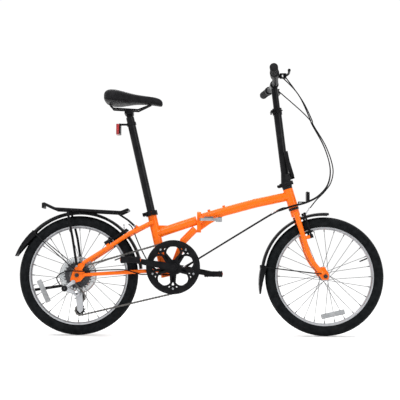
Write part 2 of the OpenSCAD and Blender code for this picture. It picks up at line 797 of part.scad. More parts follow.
// Saddle sections: x, half width, top, bottom
saddle_sections = [
    [-406, 52, 1002, 978], [-396, 72, 1016, 968], [-370, 82, 1021, 966], [-335, 78, 1015, 966],
    [-300, 56, 1007, 966], [-265, 34, 1002, 966], [-225, 23, 998, 966], [-190, 19, 991, 964],
    [-168, 15, 981, 962], [-159, 8, 973, 963]
];
function saddle_ring(s) = [for (k = [0 : 15]) let (a = 360 * k / 16, c = cos(a), n = sin(a))
    [s[0], s[1] * sign(c) * pow(abs(c), 0.8),
     (s[2] + s[3]) / 2 + (s[2] - s[3]) / 2 * sign(n) * pow(abs(n), n > 0 ? 0.8 : 0.4)]];
module saddle() color(black) {
    sides = 16;
    count = len(saddle_sections);
    polyhedron(
        points = [for (s = saddle_sections) each saddle_ring(s)],
        faces = [
            [for (k = [0 : sides - 1]) sides - 1 - k],
            [for (k = [0 : sides - 1]) (count - 1) * sides + k],
            for (i = [0 : count - 2], k = [0 : sides - 1])
                let (a = i * sides + k, b = i * sides + (k + 1) % sides)
                    [a, b, b + sides, a + sides]
        ]
    );
}

module rear_reflector() {
    color(black) difference() {
        union() {
            bar(seat_at(874), seat_at(886), seatpost_d / 2 + 3);
            translate(seat_at(880) - [44, 4, 6]) cube([34, 8, 8]);
            translate([-340, -22, 836]) cube([6, 44, 44]);
        }
        bar(seat_at(870), seat_at(890), seatpost_d / 2 + 0.1);
    }
    color(red) translate([-352, -24, 834]) cube([11.8, 48, 44]);
}

// ---- Drive ----

pitch = 12.7;
ring_y = -47;
sprocket_y = -56.5;
ring_r = pitch / 2 / sin(180 / chainring_teeth);
small_r = pitch / 2 / sin(180 / small_teeth);
jockey_teeth = 10;
jockey_r = pitch / 2 / sin(180 / jockey_teeth);
guide_at = [-488, sprocket_y, 158];
tension_at = [-486, sprocket_y, 104];
roller_r = 3.9;

// Toothed disc in the XY plane, with a tooth gap at angle 0
module toothed(teeth, pitch_r, thick, hole_r) {
    shape = [[-0.3, -4.4], [-0.15, -0.7], [-0.06, 3], [0.06, 3], [0.15, -0.7], [0.3, -4.4]];
    translate([0, 0, -thick / 2])
        difference() {
            linear_extrude(thick)
                polygon([for (i = [0 : teeth - 1], p = shape)
                    let (a = 360 * (i + 0.5 + p[0]) / teeth) (pitch_r + p[1]) * [cos(a), sin(a)]]);
            translate([0, 0, -1]) cylinder(h = thick + 2, r = hole_r);
        }
}

// Turns a disc so that its angle 0 points along a direction in the side view
module facing(place, angle) translate(place) rotate([90, 0, 0]) rotate([0, 0, angle]) children();

// Angles of the chain's tangent points, measured from forward up to the top
function side_dist(a, b) = norm([b.x - a.x, b.z - a.z]);
function side_angle(a, b) = atan2(b.z - a.z, b.x - a.x);
top_tangent = 90 + side_angle(rear_axle, bb) + asin((ring_r - small_r) / side_dist(rear_axle, bb));
low_tangent = -90 + side_angle(tension_at, bb)
    - asin((ring_r - jockey_r) / side_dist(tension_at, bb));
cross_a = acos((small_r + jockey_r) / side_dist(rear_axle, guide_at));
leave_a = side_angle(rear_axle, guide_at) - cross_a;
cross_b = acos(2 * jockey_r / side_dist(guide_at, tension_at));
down = side_angle(guide_at, tension_at);

function round_at(c, r, a) = [c.x + r * cos(a), c.y, c.z + r * sin(a)];
ring_at = [bb.x, ring_y, bb.z];
sprocket_at = [rear_axle.x, sprocket_y, rear_axle.z];
// Point a distance along the tangent that leaves the arc at angle a
function ahead(c, r, a, d) = round_at(c, r, a) + d * [-sin(a), 0, cos(a)];
function arc_of(c, r, a0, a1, n) = [for (k = [0 : n]) round_at(c, r, a0 + (a1 - a0) * k / n)];
straight = 45; // the chain stays in the ring's plane this far past it
chain_route = concat(
    [ahead(ring_at, ring_r, low_tangent, -straight)],
    arc_of(ring_at, ring_r, low_tangent, top_tangent, 22),
    [ahead(ring_at, ring_r, top_tangent, straight)],
    arc_of(sprocket_at, small_r, top_tangent, 360 + leave_a, 8),
    arc_of(guide_at, jockey_r, 180 + leave_a, down + cross_b, 4),
    arc_of(tension_at, jockey_r, down + cross_b - 180, low_tangent, 6)
);

// The chain as its two rows of side plates, and the rollers where it lies on the big ring
module chain() color(grey) {
    n = len(chain_route);
    for (y = [-2, 2])
        for (i = [0 : n - 1]) {
            a = chain_route[i] + [0, y, 0];
            b = chain_route[(i + 1) % n] + [0, y, 0];
            along = atan2(b.z - a.z, b.x - a.x);
            drift = atan2(b.y - a.y, side_dist(a, b));
            translate(a) rotate([0, -along, 0]) rotate([0, 0, drift])
                translate([0, -0.4, -4]) cube([norm(b - a), 0.8, 8]);
        }
    step = 360 / chainring_teeth;
    for (a = [ceil(low_tangent / step + 1) * step : step : top_tangent - step])
        cross_bar(round_at(ring_at, ring_r, a).x, round_at(ring_at, ring_r, a).z,
                  ring_y - 1.7, ring_y + 1.7, roller_r - 0.4);
}

module chainring() color(steel) facing(ring_at, 0) toothed(chainring_teeth, ring_r, 2.4, 84);

guard_y = -53;
module chain_guard() color(black) {
    facing([bb.x, guard_y, bb.z], 0)
        difference() {
            translate([0, 0, -1.5]) cylinder(h = 3, r = 111);
            translate([0, 0, -3]) cylinder(h = 6, r = 84);
        }
    for (i = [0 : 4])
        facing([bb.x, 0, bb.z], 72 * i + 54)
            translate([94.5, 0, 48.6]) cylinder(h = 2.7, r = 3.5);
}

arm_y = 66;
module crank_arm(turn) {
    rotate([0, 0, turn]) difference() {
        union() {
            translate([0, 0, -6]) cylinder(h = 12, r = 18);
            translate([crank_length, 0, -6]) cylinder(h = 12, r = 12.5);
            translate([0, 0, -6]) linear_extrude(12)
                polygon([[0, 15], [crank_length, 10.5], [crank_length, -10.5], [0, -15]]);
        }
        translate([crank_length, 0, -8]) cylinder(h = 16, r = 6.95);
    }
}

// The two arms, with the spindle that both are pressed on
module crank_arms() color(black) {
    spindle_r = 7.9;
    difference() {
        union() {
            facing([bb.x, -arm_y, bb.z], 0) crank_arm(180 - crank_angle);
            // five-armed spider
            facing([bb.x, -57.2, bb.z], 0)
                difference() {
                    union() {
                        translate([0, 0, -2.6]) cylinder(h = 8, r = 26);
                        for (i = [0 : 4])
                            rotate([0, 0, 72 * i + 54])
                                translate([0, 0, -2.4])
                                    linear_extrude(4)
                                        polygon([[18, 15], [70, 11], [93, 15],
                                                 [93, -15], [70, -11], [18, -15]]);
                    }
                    for (i = [0 : 4])
                        rotate([0, 0, 72 * i + 54])
                            translate([34, -4.5, -4]) cube([40, 9, 9]);
                }
        }
        cross_bar(bb.x, bb.z, -66, -40, spindle_r + fit);
    }
    difference() {
        facing([bb.x, arm_y, bb.z], 0) crank_arm(-crank_angle);
        cross_bar(bb.x, bb.z, 40, 66, spindle_r + fit);
    }
    cross_bar(bb.x, bb.z, -arm_y + 1, arm_y - 1, spindle_r);
}

pedal_reach = [crank_length * cos(crank_angle), arm_y + 6, -crank_length * sin(crank_angle)];
right_pedal_at = bb - pedal_reach;
left_pedal_at = bb + pedal_reach;

// Pedal axle and fold block, pointing along -Y from the crank's face
module pedal_knuckle() {
    cross_bar(0, 0, -8.4, 11, 6.9);
    difference() {
        translate([-12, -24, -7.5]) cube([24, 16, 15]);
        translate([-20, -18, 0]) rotate([0, 90, 0]) cylinder(h = 40, r = 3.05);
        translate([-7.3, -25, -9]) cube([14.6, 13, 18]);
    }
}

module pedal_body() {
    difference() {
        union() {
            translate([-7, -29, -5]) cube([14, 13.5, 10]);
            translate([-39, -100, -14]) cube([78, 71.5, 28]);
        }
        for (s = [-1, 1]) translate([s * 21 - 9, -92, -20]) cube([18, 58, 40]);
    }
    translate([-13, -18, 0]) rotate([0, 90, 0]) cylinder(h = 26, r = 3);
    for (s = [-1, 1]) translate([s * 38 - 3, -86, -6]) cube([6, 46, 12]);
}

module right_pedal_knuckle() color(black) translate(right_pedal_at) pedal_knuckle();
module left_pedal_knuckle() color(black) translate(left_pedal_at) mirror([0, 1, 0]) pedal_knuckle();
module right_pedal() color(black) translate(right_pedal_at) pedal_body();
module left_pedal() color(black) translate(left_pedal_at) mirror([0, 1, 0]) pedal_body();

sprocket_teeth = [28, 24, 21, 18, 16, small_teeth];
module freewheel() color(steel)
    difference() {
        union() {
            for (i = [0 : 5]) {
                teeth = sprocket_teeth[i];
                facing([rear_axle.x, -36.5 - 4 * i, rear_axle.z], i == 5 ? top_tangent : 0)
                    toothed(teeth, pitch / 2 / sin(180 / teeth), 2, 10);
            }
            cross_bar(rear_axle.x, rear_axle.z, -57.1, -35.9, 18);
        }
        cross_bar(rear_axle.x, rear_axle.z, -60, -30, 13);
    }

module jockey(place, lean) facing(place, lean) toothed(jockey_teeth, jockey_r, 2.4, 3.05);
module guide_pulley() color(black) jockey(guide_at, 0);
module tension_pulley() color(black) jockey(tension_at, low_tangent);

module derailleur() color(silver) {
    difference() {
        union() {
            cross_bar(hanger.x, hanger.z, -84, -70.4, 9);
            bar([hanger.x, -78, hanger.z], [-548, -80, 192], 8);
            bar([-548, -80, 192], [-498, -75, 172], 9);
            translate([-548, -80, 192]) sphere(r = 9.3);
            cross_bar(-498, 172, -84, -66, 10);
        }
        cross_bar(-498, 172, -70, -60, 3.1);
    }
    cross_bar(hanger.x, hanger.z, -71, -64, 4);
}

cage_at = [-498, -63, 172];
module derailleur_cage() color(steel) {
    outline = [[-506, 172], [-498, 182], [-478, 172], [-474, 104], [-486, 92], [-498, 104]];
    for (side = [-6, 6])
        slab(outline, sprocket_y + side, 1.6);
    cross_bar(guide_at.x, guide_at.z, sprocket_y - 6, sprocket_y + 6, 3);
    cross_bar(tension_at.x, tension_at.z, sprocket_y - 6, sprocket_y + 6, 3);
    cross_bar(cage_at.x, cage_at.z, -69.8, sprocket_y - 6, 3);
}

// ---- Kickstand and cables ----

kick_end = [-714, 84, 180];
module kickstand() color(black) {
    bar(kick_pivot - 7 * kick_axis, kick_pivot + 7 * kick_axis, 11);
    bar(kick_pivot, kick_pivot + 17 * kick_axis, 3.9);
    bar(kick_pivot, kick_end, 6);
    bar(kick_end - [1, 0, 0], kick_end + 14 * unit(kick_end - kick_pivot), 8);
}

cable_bow = [[470, 0, 884], [520, 0, 790], [545, 0, 700], [534, -8, 630], [492, -28, 580],
    [440, -37, 552], [388, -31, 538], [345, -16, 524]];
// The first length of each housing, from its lever down to the bow, moves with the handlebar
// The upper lengths end in front of the head tube, a small gap short of the lower ones
seam = [-2.2, -0.4, -1.2];
function upper_bow(shift) = [for (k = [0 : 4]) cable_bow[k] + shift];
function lower_bow(shift) =
    concat([cable_bow[4] + shift + seam], [for (k = [5 : 7]) cable_bow[k] + shift]);
rear_start = concat([[bar_at(-160).x + 50, 154, bar_at(-160).z - 6], [430, 90, 960]],
    upper_bow([0, 3, 1]));
shift_start = concat([bar_at(-200) + [24, 0, -6], [400, -110, 990]], upper_bow([0, -3, -3]));
front_start = [[bar_at(-160).x + 50, -154, bar_at(-160).z - 6], [420, -80, 970],
    [474, -9, 880], [526, -9, 790], [555, -9, 700], [548, -6, 640], [522, 2, 600]];
module handlebar_cables() color(black)
    for (route = [rear_start, shift_start, front_start])
        hose(smooth(route, 3), 2, 8);

// The rear brake and shift housings lie beside the tension cable and pass under the crank shell
rear_route = smooth(concat(lower_bow([0, 3, 1]),
    [[300, -6.4, 503], [160, -6, 418], [0, -6, 319], [-60, -9, 280], [-86, -12, 257],
     [-110, -21, 252], [-140, -24, 250], [-165, -19, 250], [-185, -6, 258], [-200, 0, 280],
     [-214, 0, 300], [-244, 0, 355], [-262, -2, 395], [-274, -8, 426], [-284, -16, 448],
     [-296, -20, 458]]), 2);
shift_route = smooth(concat(lower_bow([0, -3, -3]),
    [[300, -11, 502], [160, -11, 417], [0, -11, 318], [-62, -16, 276], [-88, -19, 256],
     [-112, -27, 251], [-142, -30, 249], [-175, -30, 250], [-216, -34, 251], [-242, -43, 251],
     [-270, -51, 259], [-310, -55, 269], [-400, -63, 267], [-470, -77, 262], [-540, -82, 262],
     [-580, -82, 238], [-568, -82, 208]]), 2);
front_route = smooth([[520.2, 1.7, 598.2], [488, -4, 566], [458, -24, 530]], 3);
module control_cables() color(black)
    for (route = [rear_route, shift_route, front_route])
        hose(route, 2, 8);

rear_frame();
bottom_bracket();
seat_clamp();
rear_rack();
rear_fender();
rear_axle_set();
frame_hinge_pin();
chain();
control_cables();
handlebar_cables();
front_frame();
headset();
front_reflector();
tension_cable();
frame_latch_lever();
frame_safety_catch();
fork();
front_fender();
front_axle_set();
handlepost_base();
handlepost();
handlepost_latch();
telescope_lever();
handlebar_stem();
handlebar();
grips();
brake_lever_brackets();
left_brake_lever();
right_brake_lever();
twist_shifter();
seatpost();
saddle_clamp();
saddle();
rear_reflector();
seat_clamp_lever();
rear_tyre();
rear_rim();
rear_spokes();
rear_hub();
freewheel();
front_tyre();
front_rim();
front_spokes();
front_hub();
crank_arms();
chainring();
chain_guard();
right_pedal_knuckle();
right_pedal();
left_pedal_knuckle();
left_pedal();
derailleur();
derailleur_cage();
guide_pulley();
tension_pulley();
front_left_brake_arm();
front_right_brake_arm();
rear_left_brake_arm();
rear_right_brake_arm();
kickstand();
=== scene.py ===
import math

import bmesh
import bpy
from mathutils import Matrix, Vector


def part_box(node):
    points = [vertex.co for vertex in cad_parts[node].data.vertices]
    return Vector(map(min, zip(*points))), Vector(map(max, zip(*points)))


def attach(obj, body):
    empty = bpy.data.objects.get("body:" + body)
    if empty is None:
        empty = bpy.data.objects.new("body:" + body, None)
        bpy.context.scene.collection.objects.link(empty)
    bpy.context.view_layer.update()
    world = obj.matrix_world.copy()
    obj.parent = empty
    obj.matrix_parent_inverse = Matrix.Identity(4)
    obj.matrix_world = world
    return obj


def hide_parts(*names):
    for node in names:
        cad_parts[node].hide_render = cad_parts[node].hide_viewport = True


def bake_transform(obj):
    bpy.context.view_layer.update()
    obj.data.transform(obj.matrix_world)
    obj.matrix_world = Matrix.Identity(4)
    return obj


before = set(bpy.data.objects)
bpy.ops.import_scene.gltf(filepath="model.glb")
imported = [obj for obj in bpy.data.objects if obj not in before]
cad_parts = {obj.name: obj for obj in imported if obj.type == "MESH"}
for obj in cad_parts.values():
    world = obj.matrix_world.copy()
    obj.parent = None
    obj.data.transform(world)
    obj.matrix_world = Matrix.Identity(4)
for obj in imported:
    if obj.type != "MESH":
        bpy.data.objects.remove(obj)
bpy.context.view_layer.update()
MM = 0.001


def mid(node):
    """The middle of a CAD node's box."""
    low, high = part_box(node)
    return (Vector(low) + Vector(high)) / 2


def side_name(side):
    return "left" if side > 0 else "right"


def circle_way(angle):
    """The unit vector at an angle in the wheels' plane, 0 forward and 90 degrees up."""
    return Vector((math.cos(angle), 0, math.sin(angle)))


REAR = mid("rear_rim")
FRONT = mid("front_rim")
BB = mid("chainring")
WHEEL_R = REAR.z
REAR_FLAP = (137, 163.5, 8.6 * MM)  # first and last angle in degrees, flare at the tip
FRONT_FLAP = (170, 195.5, 13 * MM)
REAR_REFLECTOR_ANGLE = 204.6
FRONT_REFLECTOR_ANGLE = 282.7

# ---- Camera, light and floor ----


def make_camera():
    data = bpy.data.cameras.new("camera")
    data.lens = 82.0
    data.sensor_width = 36.0
    camera = bpy.data.objects.new("camera", data)
    bpy.context.scene.collection.objects.link(camera)
    pitch = math.radians(90 + 4.39)
    roll = math.radians(0.3)
    camera.matrix_world = (
        Matrix.Translation((0.0, -3.8, 0.27))
        @ Matrix.Rotation(pitch, 4, "X")
        @ Matrix.Rotation(roll, 4, "Z")
    )
    bpy.context.scene.camera = camera


def make_light(name, place, target, size, power):
    data = bpy.data.lights.new(name, "AREA")
    data.shape = "RECTANGLE"
    data.size, data.size_y = size
    data.energy = power
    light = bpy.data.objects.new(name, data)
    light.location = place
    light.rotation_euler = (Vector(target) - Vector(place)).to_track_quat("-Z", "Y").to_euler()
    bpy.context.scene.collection.objects.link(light)


def make_world():
    """A white backdrop, dimmer on the near side where the soft boxes stand, bright overhead."""
    world = bpy.data.worlds.new("studio")
    bpy.context.scene.world = world
    world.use_nodes = True
    nodes, links = world.node_tree.nodes, world.node_tree.links
    back = nodes["Background"]
    back.inputs["Color"].default_value = (1.0, 1.0, 1.0, 1.0)
    way = nodes.new("ShaderNodeTexCoord")
    parts = nodes.new("ShaderNodeSeparateXYZ")
    links.new(way.outputs["Generated"], parts.inputs["Vector"])
    dim = nodes.new("ShaderNodeMapRange")
    dim.inputs["From Min"].default_value = -0.5
    dim.inputs["From Max"].default_value = 0.5
    dim.inputs["To Min"].default_value = 0.6
    dim.inputs["To Max"].default_value = 1.03
    links.new(parts.outputs["Y"], dim.inputs["Value"])
    high = nodes.new("ShaderNodeMapRange")
    high.inputs["From Min"].default_value = 0.4
    high.inputs["From Max"].default_value = 0.95
    high.inputs["To Min"].default_value = 0.0
    high.inputs["To Max"].default_value = 0.75
    links.new(parts.outputs["Z"], high.inputs["Value"])
    both = nodes.new("ShaderNodeMath")
    both.operation = "ADD"
    links.new(dim.outputs["Result"], both.inputs[0])
    links.new(high.outputs["Result"], both.inputs[1])
    links.new(both.outputs["Value"], back.inputs["Strength"])
    bpy.context.scene.view_settings.view_transform = "Standard"


def material(name, color, rough, metal=0.0, coat=0.0, mottle=0.06, mottle_scale=40.0,
             grain=0.0, grain_scale=900.0, stretch=(1, 1, 1), cells=False, clear=0.0,
             shine=0.5):
    """A surface whose colour and roughness drift over the piece, with a fine relief.

    mottle is the share by which the colour drifts, grain the strength of the relief, cells a
    relief of small cells in place of noise, clear the transmission and shine the reflection.
    """
    spread = 0.12
    mat = bpy.data.materials.new(name)
    mat.use_nodes = True
    nodes, links = mat.node_tree.nodes, mat.node_tree.links
    shader = nodes["Principled BSDF"]
    shader.inputs["Metallic"].default_value = metal
    shader.inputs["Coat Weight"].default_value = coat
    shader.inputs["Coat Roughness"].default_value = 0.06
    shader.inputs["Transmission Weight"].default_value = clear
    shader.inputs["Specular IOR Level"].default_value = shine
    where = nodes.new("ShaderNodeTexCoord")
    mapping = nodes.new("ShaderNodeMapping")
    mapping.inputs["Scale"].default_value = stretch
    links.new(where.outputs["Object"], mapping.inputs["Vector"])
    drift = nodes.new("ShaderNodeTexNoise")
    drift.inputs["Scale"].default_value = mottle_scale
    drift.inputs["Detail"].default_value = 6
    links.new(mapping.outputs["Vector"], drift.inputs["Vector"])
    ramp = nodes.new("ShaderNodeValToRGB")
    low, high = 1 - mottle, 1 + mottle
    ramp.color_ramp.elements[0].position = 0.3
    ramp.color_ramp.elements[1].position = 0.7
    ramp.color_ramp.elements[0].color = [min(c * low, 1) for c in color] + [1]
    ramp.color_ramp.elements[1].color = [min(c * high + 0.004, 1) for c in color] + [1]
    links.new(drift.outputs["Fac"], ramp.inputs["Fac"])
    links.new(ramp.outputs["Color"], shader.inputs["Base Color"])
    spreader = nodes.new("ShaderNodeMapRange")
    spreader.inputs["To Min"].default_value = max(rough - spread, 0.03)
    spreader.inputs["To Max"].default_value = min(rough + spread, 1)
    links.new(drift.outputs["Fac"], spreader.inputs["Value"])
    links.new(spreader.outputs["Result"], shader.inputs["Roughness"])
    if grain:
        relief = nodes.new("ShaderNodeTexVoronoi" if cells else "ShaderNodeTexNoise")
        relief.inputs["Scale"].default_value = grain_scale
        links.new(mapping.outputs["Vector"], relief.inputs["Vector"])
        bump = nodes.new("ShaderNodeBump")
        bump.inputs["Strength"].default_value = grain
        bump.inputs["Distance"].default_value = 0.0006
        links.new(relief.outputs["Distance" if cells else "Fac"], bump.inputs["Height"])
        links.new(bump.outputs["Normal"], shader.inputs["Normal"])
    return mat


M = {
    "paint": material("orange_enamel", (0.9, 0.145, 0.0), 0.3, coat=0.12, mottle=0.05,
                      grain=0.05, grain_scale=700, shine=0.2),
    "black_metal": material("black_anodised", (0.006, 0.006, 0.007), 0.34, mottle=0.25,
                            grain=0.12, grain_scale=1500, shine=0.06),
    "black_gloss": material("black_enamel", (0.004, 0.004, 0.005), 0.22, mottle=0.2,
                            grain=0.04, grain_scale=600, shine=0.16),
    "alloy": material("brushed_alloy", (0.46, 0.47, 0.49), 0.3, metal=1.0, mottle=0.12,
                      grain=0.18, grain_scale=500, stretch=(1, 6, 1)),
    "steel": material("bright_steel", (0.36, 0.37, 0.39), 0.22, metal=1.0, mottle=0.12,
                      grain=0.08, grain_scale=1400),
    "dark_steel": material("dark_steel", (0.06, 0.06, 0.065), 0.3, metal=0.9, mottle=0.2,
                           grain=0.08, grain_scale=1400),
    "chain_steel": material("oiled_steel", (0.13, 0.125, 0.12), 0.35, metal=1.0, mottle=0.35,
                            mottle_scale=120, grain=0.1),
    "rubber": material("tyre_rubber", (0.006, 0.007, 0.008), 0.6, mottle=0.3, mottle_scale=60,
                       grain=0.35, grain_scale=1300, shine=0.03),
    "grip": material("grip_rubber", (0.007, 0.007, 0.008), 0.55, mottle=0.25, grain=0.6,
                     grain_scale=700, cells=True, shine=0.1),
    "plastic": material("black_plastic", (0.006, 0.006, 0.007), 0.36, mottle=0.2, grain=0.25,
                        grain_scale=1800, shine=0.08),
    "leather": material("saddle_cover", (0.006, 0.006, 0.007), 0.42, mottle=0.3, grain=0.7,
                        grain_scale=1100, cells=True, shine=0.1),
    "red": material("red_lens", (0.35, 0.005, 0.008), 0.15, coat=0.4, mottle=0.2, grain=0.9,
                    grain_scale=420, cells=True, clear=0.1),
    "amber": material("amber_lens", (0.65, 0.09, 0.01), 0.18, coat=0.4, mottle=0.2, grain=0.9,
                      grain_scale=420, cells=True, clear=0.1),
    "lens": material("clear_lens", (0.34, 0.35, 0.36), 0.2, coat=0.4, mottle=0.2, grain=0.9,
                     grain_scale=420, cells=True, clear=0.15),
    "cable": material("cable_cover", (0.005, 0.005, 0.006), 0.35, mottle=0.2, grain=0.1,
                      shine=0.06),
    "clear": material("clear_plastic", (0.6, 0.62, 0.63), 0.15, mottle=0.06, grain=0.05,
                      clear=0.75),
    "catch": material("grey_catch", (0.14, 0.145, 0.15), 0.4, metal=0.6, mottle=0.15,
                      grain=0.2),
}

NODE_LOOKS = {
    "paint": ["rear_frame", "front_frame", "fork"],
    "alloy": ["rear_rim", "front_rim", "rear_hub", "front_hub", "derailleur", "bottom_bracket",
              "frame_latch_lever", "derailleur_cage"],
    "steel": ["frame_hinge_pin"],
    "dark_steel": ["rear_spokes", "front_spokes", "freewheel", "rear_axle_set",
                   "front_axle_set"],
    "chain_steel": ["chain", "chainring"],
    "rubber": ["rear_tyre", "front_tyre"],
    "grip": ["grips"],
    "plastic": ["rear_fender", "front_fender", "twist_shifter", "right_pedal", "left_pedal",
                "guide_pulley", "tension_pulley", "chain_guard", "front_reflector",
                "rear_reflector"],
    "leather": ["saddle"],
    "cable": ["control_cables", "handlebar_cables", "tension_cable"],
    "catch": ["frame_safety_catch"],
    "black_gloss": ["handlepost", "handlebar_stem", "seatpost", "headset"],
}


def dress_nodes():
    """Every CAD node gets its material, black metal where none is named."""
    looks = {n: look for look, names in NODE_LOOKS.items() for n in names}
    for name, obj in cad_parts.items():
        obj.data.materials.clear()
        obj.data.materials.append(M[looks.get(name, "black_metal")])


# ---- Mesh helpers ----


def piece(name, verts, faces, look, body, smooth=True):
    """A new object from points and faces, riding a CAD body if one is named."""
    mesh = bpy.data.meshes.new(name)
    mesh.from_pydata([tuple(v) for v in verts], [], faces)
    mesh.validate()
    obj = bpy.data.objects.new(name, mesh)
    bpy.context.scene.collection.objects.link(obj)
    mesh.materials.append(M[look])
    if smooth:
        mesh.shade_smooth()
    bm = bmesh.new()
    bm.from_mesh(mesh)
    bmesh.ops.recalc_face_normals(bm, faces=bm.faces)
    bm.to_mesh(mesh)
    bm.free()
    if body:
        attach(obj, body)
    return obj


def loft(rings, closed=False):
    """Faces and points of a skin over rings of equal count."""
    n, count = len(rings[0]), len(rings)
    verts = [p for ring in rings for p in ring]
    faces = []
    for i in range(count if closed else count - 1):
        a, b = i * n, ((i + 1) % count) * n
        faces += [(a + k, a + (k + 1) % n, b + (k + 1) % n, b + k) for k in range(n)]
    if not closed:
        faces += [tuple(range(n)), tuple(range(len(verts) - 1, len(verts) - n - 1, -1))]
    return verts, faces


def smooth_route(points, steps=6):
    """A Catmull-Rom curve through the points."""
    p = [Vector(q) for q in points]
    out = []
    for i in range(len(p) - 1):
        a, b, c, d = p[max(i - 1, 0)], p[i], p[i + 1], p[min(i + 2, len(p) - 1)]
        last = i == len(p) - 2
        for k in range(steps + (1 if last else 0)):
            t = k / steps
            out.append(0.5 * (2 * b + (c - a) * t + (2 * a - 5 * b + 4 * c - d) * t * t
                              + (3 * b - a - 3 * c + d) * t ** 3))
    return out


def tube_rings(route, radius, sides=12):
    """Rings along a route that turn as little as possible. radius is a number or a function."""
    rings = []
    normal = None
    for i, p in enumerate(route):
        along = (route[min(i + 1, len(route) - 1)] - route[max(i - 1, 0)]).normalized()
        if normal is None:
            normal = along.orthogonal().normalized()
        normal = (normal - along * normal.dot(along)).normalized()
        side = along.cross(normal)
        r = radius(i / (len(route) - 1)) if callable(radius) else radius
        rings.append([p + r * (math.cos(a) * normal + math.sin(a) * side)
                      for a in (2 * math.pi * k / sides for k in range(sides))])
    return rings


def tube(name, route, radius, look, body, sides=12):
    return piece(name, *loft(tube_rings(route, radius, sides)), look, body)


def join_parts(parts):
    """Several (verts, faces) as one."""
    verts, faces = [], []
    for v, f in parts:
        start = len(verts)
        verts += v
        faces += [tuple(i + start for i in face) for face in f]
    return verts, faces


def rounded_box(size, bevel, place, turn=None):
    """A box with rounded edges as (verts, faces)."""
    bm = bmesh.new()
    bmesh.ops.create_cube(bm, size=1)
    bmesh.ops.scale(bm, vec=size, verts=bm.verts)
    bmesh.ops.bevel(bm, geom=bm.edges[:], offset=bevel, segments=2, affect="EDGES",
                    profile=0.6)
    matrix = Matrix.Translation(place) @ (turn.to_4x4() if turn else Matrix.Identity(4))
    verts = [matrix @ v.co for v in bm.verts]
    faces = [tuple(v.index for v in f.verts) for f in bm.faces]
    bm.free()
    return verts, faces


def lathe(profile, axis_point, axis, segments=48, closed=False):
    """Turns [(radius, height)] about an axis as (verts, faces)."""
    axis = Vector(axis).normalized()
    u = axis.orthogonal().normalized()
    v = axis.cross(u)
    rings = [[Vector(axis_point) + axis * h + r * (math.cos(a) * u + math.sin(a) * v)
              for a in (2 * math.pi * k / segments for k in range(segments))]
             for r, h in profile]
    return loft(rings, closed=closed)


# ---- Tyres ----


def tyre(name, node, body):
    """A casing with moulded tread blocks, bead to bead."""
    centre = mid(node)
    half = (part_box(node)[1][1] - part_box(node)[0][1]) / 2 - 0.2 * MM
    bead = 203 * MM
    middle_r = WHEEL_R - half
    around, across = 336, 26
    wrap = math.radians(142)  # how far the casing goes round on each side
    tread, centre_band = 0.52, 0.1  # shares of the half width
    block, gap_between, stagger = 8, 2, 4  # steps along the tread
    groove_depth = 1.5 * MM
    rings = []
    for i in range(around):
        a = 2 * math.pi * i / around
        ring = []
        for k in range(across + 1):
            t = -1 + 2 * k / across
            b = t * wrap
            r = middle_r + half * math.cos(b)
            y = half * math.sin(b)
            wave = (i + (stagger if t > 0 else 0)) % block
            lane = abs(abs(t) * across / 2 - 2.5) < 0.6
            if abs(t) < tread and (lane or (wave < gap_between and abs(t) > centre_band)):
                r -= groove_depth * math.cos(b)
                y -= groove_depth * math.sin(b)
            ring.append(centre + max(r, bead) * circle_way(a) + Vector((0, y, 0)))
        rings.append(ring)
    obj = piece(name, *loft(rings, closed=True), "rubber", body)
    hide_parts(node)


# ---- Saddle ----


def saddle():
    """A padded shell with a raised tail, a centre dip and a piped edge."""
    low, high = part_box("saddle")
    length = high[0] - low[0]
    stations = [  # share of the length from the tail, half width, top, skirt
        (0.0, 0.030, 1.003, 0.984), (0.02, 0.052, 1.014, 0.973), (0.06, 0.068, 1.021, 0.966),
        (0.14, 0.0795, 1.0245, 0.961), (0.26, 0.0785, 1.02, 0.960), (0.38, 0.065, 1.0125, 0.962),
        (0.5, 0.0435, 1.006, 0.965), (0.62, 0.030, 1.002, 0.965), (0.76, 0.0235, 0.9985, 0.963),
        (0.88, 0.0205, 0.994, 0.959), (0.95, 0.018, 0.988, 0.956), (0.985, 0.0135, 0.981, 0.955),
        (1.0, 0.005, 0.972, 0.962)]
    count = 40
    dip_width, dip_depth, dip_middle, dip_length = 0.012, 0.0022, 0.45, 0.35
    rings = []
    for share, half, top, skirt in stations:
        ring = []
        for k in range(count):
            a = 2 * math.pi * k / count
            c, s = math.cos(a), math.sin(a)
            y = half * math.copysign(abs(c) ** 0.75, c)
            z_mid = (top + skirt) / 2
            rise = (top - skirt) / 2
            z = z_mid + rise * math.copysign(abs(s) ** (0.75 if s > 0 else 0.35), s)
            if s > 0:
                along = math.exp(-(((share - dip_middle) / dip_length) ** 2))
                z -= dip_depth * math.exp(-((y / dip_width) ** 2)) * along
            ring.append(Vector((low[0] + length * share, y, z)))
        rings.append(ring)
    obj = piece("saddle_pad", *loft(rings), "leather", None)
    finer = obj.modifiers.new("finer", "SUBSURF")
    finer.levels = finer.render_levels = 2
    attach(obj, "seatpost")
    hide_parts("saddle")
    for side in (-1, 1):
        seam = [Vector((low[0] + length * st[0], side * (st[1] * 0.985 + 0.0006), st[3] + 0.008))
                for st in stations[1:-1]]
        tube(f"saddle_piping_{side_name(side)}", smooth_route(seam, 4), 1.3 * MM, "plastic",
             "seatpost", 8)


# ---- Wheel trim ----


